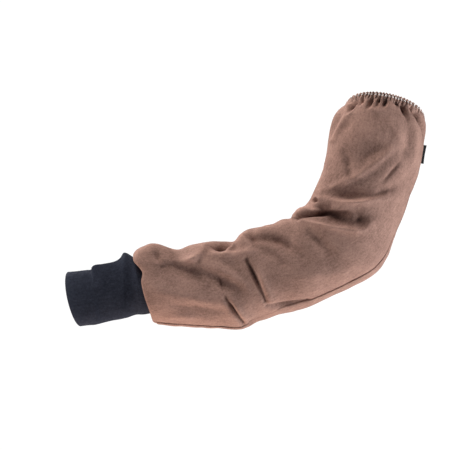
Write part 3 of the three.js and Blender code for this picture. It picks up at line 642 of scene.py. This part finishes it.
def hem_stitching():
    fine = np.linspace(0, 1, CREST_SAMPLES)
    crests = np.interp(np.arange(HEM_PLEATS) + 0.5, pleat_phase(fine), fine)
    ways = np.linspace(-1, 1, STITCH_RINGS)
    angles = 2 * np.pi * np.arange(STITCH_SIDES) / STITCH_SIDES
    outside_up, outside_lift, outside_pleat = zip(*HEM_OUTSIDE)
    clouds = []
    for number, row in enumerate(STITCH_ROWS):
        turn = crests[:, None] + ways * row.length / 2 / HEM_GIRTH
        chance = hashed(np.arange(HEM_PLEATS), np.int64(number), np.int64(STITCH_CELL), STITCH_SEED)
        up = row.up + STITCH_WANDER * chance[:, None] + np.zeros_like(turn)
        rest = np.interp(up, outside_up, outside_lift)
        pleat = np.interp(up, outside_up, outside_pleat)
        lift = pleated(turn, rest, pleat) + row.radius * (1 - STITCH_SINK)
        near_top = np.full_like(turn, 1 - SLOPE_STEP)
        out, upward = sleeve.outward(near_top, turn), sleeve.lengthways(near_top, turn)
        radius = row.radius * np.sqrt(np.clip(1 - np.abs(ways) ** STITCH_BLUNT, STITCH_TIP, 1))
        ring = np.cos(angles)[:, None] * out[:, :, None]
        ring = ring + np.sin(angles)[:, None] * upward[:, :, None]
        clouds.append(hem_point(turn, up, lift)[:, :, None] + ring * radius[:, None, None])
    cloud = np.concatenate(clouds)
    rings = np.arange(cloud[..., 0].size).reshape(cloud.shape[:-1])
    u = np.linspace(0, STITCH_ROUND, STITCH_SIDES + 1)
    v = np.linspace(0, STITCH_LONG, STITCH_RINGS)[:, None]
    cap_u = np.linspace(0, 1, STITCH_SIDES // 2)
    quads, uvs = joined([grid_quads(wrapped(rings, 2), u, v, True)]
                        + [grid_quads(cap, cap_u, RIM, True) for cap in end_caps(rings)])
    return add_mesh("hem_stitching", cloud.reshape(-1, 3), quads, uvs)


# Knit cuff with its thumb hole, a slit along the top that the thumb has drawn open: its finger
# end is blunt, and its other end runs to a point
THUMB_FIRST, THUMB_LAST = 0.3, 0.72
THUMB_OPEN = 0.086
THUMB_BLUNT = 0.1
# The hole's rolled lip, and the finger edge, which is thicker and paler
LIP_SHARE, LIP_HEIGHT = 0.03, 0.5
EDGE_SHARE, EDGE_HEIGHT, EDGE_FADE = 0.06, 0.3, 4.0
CUFF_GIRTH = 230
CUFF_FACING = (0.1, 0.5)
CUFF_SEWN = (0.85, 0.95)
CUFF_RIPPLES = [(16, 0.25), (7, 0.12)]
CUFF_SEED = 7


def cuff_cloth(along, turn):
    """A point of the cuff's outside, and the way out from it."""
    point = cuff.smooth(along, turn)
    out = cuff.outward(along, turn)
    height, _, _ = fold_field(CUFF_FOLDS, point[..., 0], point[..., 2])
    height = height * smoothstep(np.abs(out[..., 1]), *CUFF_FACING)
    for seed, (size, depth) in enumerate(CUFF_RIPPLES, CUFF_SEED):
        height = height + depth * noise(point, size, seed)
    height = height * (1 - smoothstep(along, *CUFF_SEWN))
    return point + out * height[..., None], out


def knit_cuff():
    rows, lengths = cuff.even_rows(CUFF_ROWS)
    along = np.repeat(rows[:, None], CUFF_COLUMNS + 1, 1)
    slit = np.clip((along - THUMB_FIRST) / (THUMB_LAST - THUMB_FIRST), 0, 1)
    blunt = np.sqrt(1 - (1 - np.minimum(slit / THUMB_BLUNT, 1)) ** 2)
    opening = THUMB_OPEN * blunt * np.sqrt(1 - slit**2)
    column = np.linspace(0, 1, CUFF_COLUMNS + 1)
    outside, out = cuff_cloth(along, opening + (1 - 2 * opening) * column)
    lip = np.exp(-((np.minimum(column, 1 - column) / LIP_SHARE) ** 2)) * (opening > 0)
    edge = np.exp(-((along / EDGE_SHARE) ** 2))
    outside = outside + out * (LIP_HEIGHT * lip + EDGE_HEIGHT * edge)[..., None]
    inside = outside - KNIT_CLOTH * out
    outer = np.arange(along.size).reshape(along.shape)
    shut = opening[:, 0] == 0
    outer[shut, -1] = outer[shut, 0]
    inner = outer + along.size
    u = column * CUFF_GIRTH
    v = lengths[:, None]
    gap = np.flatnonzero(~shut)
    span = slice(gap[0] - 1, gap[-1] + 2)
    quads, uvs = joined([
        grid_quads(outer, u, v),
        grid_quads(inner, u, v, True),
        grid_quads(np.stack([inner[0], outer[0]]), u, RIM),
        grid_quads(np.stack([outer[-1], inner[-1]]), u, lengths[-1] + RIM),
        grid_quads(np.stack([inner[span, 0], outer[span, 0]], 1), RIM.T, v[span]),
        grid_quads(np.stack([outer[span, -1], inner[span, -1]], 1), RIM.T, v[span]),
    ])
    points = np.concatenate([outside.reshape(-1, 3), inside.reshape(-1, 3)])
    faded = np.tile((EDGE_FADE * edge).ravel(), 2)
    return add_mesh("knit_cuff_cloth", points, quads, uvs, faded)


# Folded tab of tape, sewn into the seam and swung towards the far side, by radians
TAB_ALONG, TAB_TURN, TAB_WIDTH, TAB_REACH = 0.84, 0.54, 25, 13
TAB_CLOTH, TAB_SLOT, TAB_SWING = 0.8, 0.6, 0.9
TAB_GAP = 0.3
TAB_BOW = 0.5
TAB_STEPS, TAB_LEAF_STEPS, TAB_BEND_STEPS = 24, 8, 13


def tab_leaf(radius, bend_centre):
    """Out along one leaf of the folded tape, round its fold and back, at one radius."""
    bend = np.linspace(-np.pi / 2, np.pi / 2, TAB_BEND_STEPS)
    straight = np.linspace(0, bend_centre, TAB_LEAF_STEPS, endpoint=False)
    outward = np.concatenate([straight, bend_centre + radius * np.cos(bend), straight[::-1]])
    flat = np.full(TAB_LEAF_STEPS, radius)
    return np.stack([outward, np.concatenate([-flat, radius * np.sin(bend), flat])], 1)


def folded_tab():
    radius = TAB_CLOTH + TAB_SLOT / 2
    bend_centre = TAB_REACH - radius
    outside, hollow = tab_leaf(radius, bend_centre), tab_leaf(TAB_SLOT / 2, bend_centre)
    profile = np.concatenate([outside, hollow[::-1]])
    along, turn = np.array([TAB_ALONG]), np.array([TAB_TURN])
    upward, normal = sleeve.lengthways(along, turn)[0], sleeve.outward(along, turn)[0]
    reach_way = normal * math.cos(TAB_SWING) + np.cross(upward, normal) * math.sin(TAB_SWING)
    across = np.cross(upward, reach_way)
    root = sleeve.smooth(along, turn)[0] + normal * (radius * math.sin(TAB_SWING) + TAB_GAP)
    steps = np.linspace(-1, 1, TAB_STEPS + 1)[:, None]
    bow = TAB_BOW * np.cos(np.pi / 2 * steps) * profile[:, 0] / TAB_REACH
    points = root + reach_way * profile[:, :1] + across * (profile[:, 1] + bow)[..., None]
    points = points + upward * (steps * TAB_WIDTH / 2)[..., None]
    rings = np.arange(points[..., 0].size).reshape(points.shape[:2])
    u = np.linspace(0, 4 * TAB_REACH, len(profile) + 1)
    cap_u = np.linspace(0, 2 * TAB_REACH, len(outside))
    quads, uvs = joined([grid_quads(wrapped(rings, 1), u, steps * TAB_WIDTH / 2)]
                        + [grid_quads(cap, cap_u, RIM * TAB_CLOTH) for cap in end_caps(rings)])
    return add_mesh("tape_tab", points.reshape(-1, 3), quads, uvs)


body_rows, body_lengths = sleeve.even_rows(BODY_ROWS, CROOK_GAIN)
body = sleeve_body(body_rows, body_lengths)
seam = seam_strip(body_rows, body_lengths)
hem = hem_band()
stitching = hem_stitching()
knit = knit_cuff()
tab = folded_tab()


# Materials
def material(name):
    """A new material, its nodes and its shader."""
    made = bpy.data.materials.new(name)
    made.use_nodes = True
    tree = made.node_tree
    return made, tree, tree.nodes["Principled BSDF"]


def add_node(tree, kind, **settings):
    """A node with its settings, which are its own properties or its sockets' values."""
    node = tree.nodes.new(kind)
    for key, value in settings.items():
        if hasattr(node, key):
            setattr(node, key, value)
        else:
            node.inputs[key.replace("_", " ")].default_value = value
    return node


def weighted_sum(tree, source, weight, rest):
    """source times weight, added to rest, which is a socket or a number."""
    node = add_node(tree, "ShaderNodeMath", operation="MULTIPLY_ADD")
    tree.links.new(source, node.inputs[0])
    node.inputs[1].default_value = weight
    if isinstance(rest, (int, float)):
        node.inputs[2].default_value = rest
    else:
        tree.links.new(rest, node.inputs[2])
    return node.outputs[0]


def colour_range(tree, source, ends, first, last):
    """The colour that goes from first to last as a number goes between two ends."""
    node = add_node(tree, "ShaderNodeMapRange", data_type="FLOAT_VECTOR")
    values = {"From_Min_FLOAT3": [ends[0]] * 3, "From_Max_FLOAT3": [ends[1]] * 3,
              "To_Min_FLOAT3": first, "To_Max_FLOAT3": last}
    for socket in node.inputs:
        if socket.identifier in values:
            socket.default_value = values[socket.identifier]
    tree.links.new(source, node.inputs["Vector"])
    return node.outputs["Vector"]


def seen_pale(tree, shader, output, pale):
    """Shows a pale shader to the camera, while the stage's own shader still lights the sleeve."""
    rays = add_node(tree, "ShaderNodeLightPath")
    mixed = add_node(tree, "ShaderNodeMixShader")
    sources = (rays.outputs["Is Camera Ray"], shader.outputs[0], pale.outputs[0])
    for place, source in enumerate(sources):
        tree.links.new(source, mixed.inputs[place])
    tree.links.new(mixed.outputs[0], tree.nodes[output].inputs["Surface"])


# dark and light are the ends of the mottling, threads is the scale of the weave's lines, of which
# a metre has 3.2 for each 1, warp is the way of its second set of lines, and the last is how much is
# added to the mottling for each millimetre of a fold's height: the crests are worn paler, and the
# valleys are darker as painted shade
Cloth = namedtuple("Cloth", "dark light threads warp bump sheen wear")
CLOTH_ROUGHNESS, CLOTH_SPECULAR = 0.9, 0.1
SHEEN_ROUGHNESS, SHEEN_GAIN = 0.45, 2.2
# The mottling adds up patches, flecks, specks, streaks and threads. scale is spots a metre.
Spots = namedtuple("Spots", "scale detail roughness weight")
SPOTS = [Spots(38.0, 3.0, 0.55, 0.9), Spots(330.0, 2.0, 0.6, 1.0), Spots(900.0, 1.0, 0.6, 0.9)]
# Streaks a metre across and along the cloth
STREAK_SCALE, STREAK_WEIGHT = (420, 110, 1), 0.8
STREAK_DETAIL, STREAK_ROUGHNESS, STREAK_DISTORTION = 2.0, 0.6, 0.5
WEAVE_WEIGHT, WEAVE_DISTORTION = 0.25, 0.6
MOTTLE_BASE, MOTTLE_LOW, MOTTLE_HIGH = 0.5, 1.72, 3.17
# Deep creases get painted shade in the cloth's colour: the shade is full at the second depth
CREASE_START, CREASE_FULL, CREASE_SHADE = -5.0, -14.0, (0.52, 0.44, 0.44)
UNSHADED = (1, 1, 1)
# Height of the threads and streaks, in metres
RELIEF = 0.0006


def cloth_material(name, cloth):
    """Cloth whose threads run over its real lengths, mottled, worn paler where folds stand up, and
    darker with painted shade where they sink and in deep creases.
    """
    made, tree, shader = material(name)
    link = tree.links.new
    coords = add_node(tree, "ShaderNodeTexCoord")
    fold = add_node(tree, "ShaderNodeAttribute", attribute_name="fold").outputs["Fac"]
    # Fold heights add wear on the crests and painted shade in the valleys to the mottling
    total = weighted_sum(tree, fold, cloth.wear, MOTTLE_BASE)
    for spots in SPOTS:
        scattered = add_node(tree, "ShaderNodeTexNoise", Scale=spots.scale, Detail=spots.detail,
                             Roughness=spots.roughness)
        link(coords.outputs["Object"], scattered.inputs["Vector"])
        total = weighted_sum(tree, scattered.outputs["Fac"], spots.weight, total)
    stretched = add_node(tree, "ShaderNodeVectorMath", operation="MULTIPLY")
    stretched.inputs[1].default_value = STREAK_SCALE
    link(coords.outputs["UV"], stretched.inputs[0])
    streak = add_node(tree, "ShaderNodeTexNoise", Scale=1.0, Detail=STREAK_DETAIL,
                      Roughness=STREAK_ROUGHNESS, Distortion=STREAK_DISTORTION)
    link(stretched.outputs["Vector"], streak.inputs["Vector"])
    total = weighted_sum(tree, streak.outputs["Fac"], STREAK_WEIGHT, total)
    weave = add_node(tree, "ShaderNodeMath", operation="MULTIPLY")
    for place, way in enumerate(("X", cloth.warp)):
        lines = add_node(tree, "ShaderNodeTexWave", bands_direction=way, Scale=cloth.threads,
                         Distortion=WEAVE_DISTORTION)
        link(coords.outputs["UV"], lines.inputs["Vector"])
        link(lines.outputs["Fac"], weave.inputs[place])
    total = weighted_sum(tree, weave.outputs[0], WEAVE_WEIGHT, total)
    mottle = colour_range(tree, total, (MOTTLE_LOW, MOTTLE_HIGH), cloth.dark, cloth.light)
    # Painted shade: the colour itself darkens where the fold height sinks below the first depth
    depths = (CREASE_FULL, CREASE_START)
    crease = colour_range(tree, fold, depths, CREASE_SHADE, UNSHADED)
    shaded = add_node(tree, "ShaderNodeVectorMath", operation="MULTIPLY")
    link(mottle, shaded.inputs[0])
    link(crease, shaded.inputs[1])
    link(shaded.outputs["Vector"], shader.inputs["Base Color"])
    relief = weighted_sum(tree, streak.outputs["Fac"], 1.0, weave.outputs[0])
    bumped = add_node(tree, "ShaderNodeBump", Strength=cloth.bump, Distance=RELIEF)
    link(relief, bumped.inputs["Height"])
    link(bumped.outputs["Normal"], shader.inputs["Normal"])
    shader.inputs["Roughness"].default_value = CLOTH_ROUGHNESS
    shader.inputs["Specular IOR Level"].default_value = CLOTH_SPECULAR
    shader.inputs["Sheen Weight"].default_value = cloth.sheen
    shader.inputs["Sheen Roughness"].default_value = SHEEN_ROUGHNESS
    tint = np.clip(np.array(cloth.light) * SHEEN_GAIN, 0, 1)
    shader.inputs["Sheen Tint"].default_value = (*tint, 1)
    return made


CLOTHS = {
    "woven_cotton": Cloth((0.16, 0.091, 0.073), (0.47, 0.281, 0.227), 300, "Y", 0.45, 0.1, 0.05),
    "seam_cotton": Cloth((0.165, 0.094, 0.075), (0.46, 0.276, 0.223), 300, "Y", 0.45, 0.1, 0.05),
    "hem_cotton": Cloth((0.122, 0.069, 0.056), (0.49, 0.31, 0.256), 300, "Y", 0.45, 0.1, 0.35),
    "black_knit": Cloth((0.009, 0.0105, 0.0185), (0.038, 0.0425, 0.062), 190, "X", 0.5, 0.1, 0.12),
    "black_tape": Cloth((0.003, 0.003, 0.004), (0.008, 0.008, 0.01), 400, "Y", 0.3, 0.0, 0.05),
    "pale_thread": Cloth((0.56, 0.5, 0.48), (0.9, 0.83, 0.81), 500, "Y", 0.2, 0.2, 0.05),
}
finishes = {name: cloth_material(name, cloth) for name, cloth in CLOTHS.items()}

Piece = namedtuple("Piece", "made finish slot node")
PIECES = [
    Piece(body, "woven_cotton", "woven_cotton", "sleeve_body"),
    Piece(seam, "seam_cotton", "seam_cotton", "under_seam"),
    Piece(hem, "hem_cotton", "hem_cotton", "hem_band"),
    Piece(knit, "black_knit", "black_knit", "knit_cuff"),
    Piece(tab, "black_tape", "black_tape", "side_tab"),
    Piece(stitching, "pale_thread", "hem_cotton", None),
]
for piece in PIECES:
    piece.made.data.materials.append(finishes[piece.finish])
    if piece.node:
        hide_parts(piece.node)

# Stage: a pale floor some way below the sleeve, which is held in the air
FLOOR_Z = -1.3
FLOOR_RADIUS = 3.0
FLOOR_SIDES = 96
FLOOR_GREY, FLOOR_ROUGHNESS, FLOOR_SEEN = 0.85, 0.95, 0.9
angles = 2 * np.pi * np.arange(FLOOR_SIDES) / FLOOR_SIDES
disc = [(FLOOR_RADIUS * math.cos(a), FLOOR_RADIUS * math.sin(a), FLOOR_Z) for a in angles]
floor_mesh = bpy.data.meshes.new("floor")
floor_mesh.from_pydata(disc, [], [list(range(FLOOR_SIDES))])
floor = bpy.data.objects.new("floor", floor_mesh)
bpy.context.scene.collection.objects.link(floor)
pale_floor, tree, shader = material("pale_floor")
shader.inputs["Base Color"].default_value = (FLOOR_GREY, FLOOR_GREY, FLOOR_GREY, 1)
shader.inputs["Roughness"].default_value = FLOOR_ROUGHNESS
pale = add_node(tree, "ShaderNodeEmission", Strength=FLOOR_SEEN)
seen_pale(tree, shader, "Material Output", pale)
floor.data.materials.append(pale_floor)

# Studio surround: a faint light, which is a little brighter from behind the sleeve
SURROUND_RANGE = (0.2, 0.9)
SURROUND_DIM, SURROUND_BRIGHT = (0.123, 0.132, 0.14), (0.2, 0.2, 0.2)
BACKDROP_SEEN = (1.05, 1.05, 1.05, 1)
world = bpy.data.worlds.new("studio")
world.use_nodes = True
bpy.context.scene.world = world
tree = world.node_tree
background = tree.nodes["Background"]
direction = add_node(tree, "ShaderNodeTexCoord")
split = add_node(tree, "ShaderNodeSeparateXYZ")
tree.links.new(direction.outputs["Generated"], split.inputs["Vector"])
backward = split.outputs["Y"]
level = colour_range(tree, backward, SURROUND_RANGE, SURROUND_DIM, SURROUND_BRIGHT)
tree.links.new(level, background.inputs["Color"])
pale = add_node(tree, "ShaderNodeBackground", Color=BACKDROP_SEEN)
seen_pale(tree, background, "World Output", pale)

# round is a light's angle in the arm's plane, from +X up to +Z, front is how far it stands
# towards the camera, in degrees, and distance is from the middle of the arm
Light = namedtuple("Light", "name round front distance size watts red green blue")
LIGHTS = [
    Light("right", -12, 10, 2.0, 1.0, 48, 0.97, 1.0, 1.02),
    Light("top", 115, 12, 2.0, 0.8, 42, 1.0, 0.97, 0.93),
    Light("left", 175, 6, 2.0, 1.0, 16, 1.0, 0.98, 0.96),
    Light("back", 120, -40, 2.0, 0.8, 30, 1.0, 0.98, 0.96),
    Light("low", 236, -5, 1.1, 0.6, 8.5, 1.0, 0.75, 0.59),
]
AIM = np.array((-0.14, 0, -0.14))
for light in LIGHTS:
    lamp = bpy.data.lights.new(light.name, "AREA")
    lamp.energy = light.watts
    lamp.size = light.size
    lamp.color = (light.red, light.green, light.blue)
    turned, forward = math.radians(light.round), math.radians(light.front)
    flat = math.cos(forward)
    way = np.array((math.cos(turned) * flat, -math.sin(forward), math.sin(turned) * flat))
    tilt = math.atan2(math.hypot(way[0], way[1]), way[2])
    holder = bpy.data.objects.new(light.name, lamp)
    holder.location = AIM + light.distance * way
    holder.rotation_euler = (tilt, 0, math.atan2(way[0], -way[1]))
    bpy.context.scene.collection.objects.link(holder)

# Camera: level, square to the arm's plane, far off with a long lens
CAMERA_DISTANCE = 12.0
CAMERA_X, CAMERA_Z = -0.2147, -0.1453
VIEW_WIDTH = 0.6
SENSOR = 36.0
camera = bpy.data.objects.new("camera", bpy.data.cameras.new("camera"))
camera.data.sensor_width = SENSOR
camera.data.lens = SENSOR * CAMERA_DISTANCE / VIEW_WIDTH
camera.location = (CAMERA_X, -CAMERA_DISTANCE, CAMERA_Z)
camera.rotation_euler = (math.pi / 2, 0, 0)
bpy.context.scene.collection.objects.link(camera)
bpy.context.scene.camera = camera
bpy.context.scene.view_settings.view_transform = "Standard"
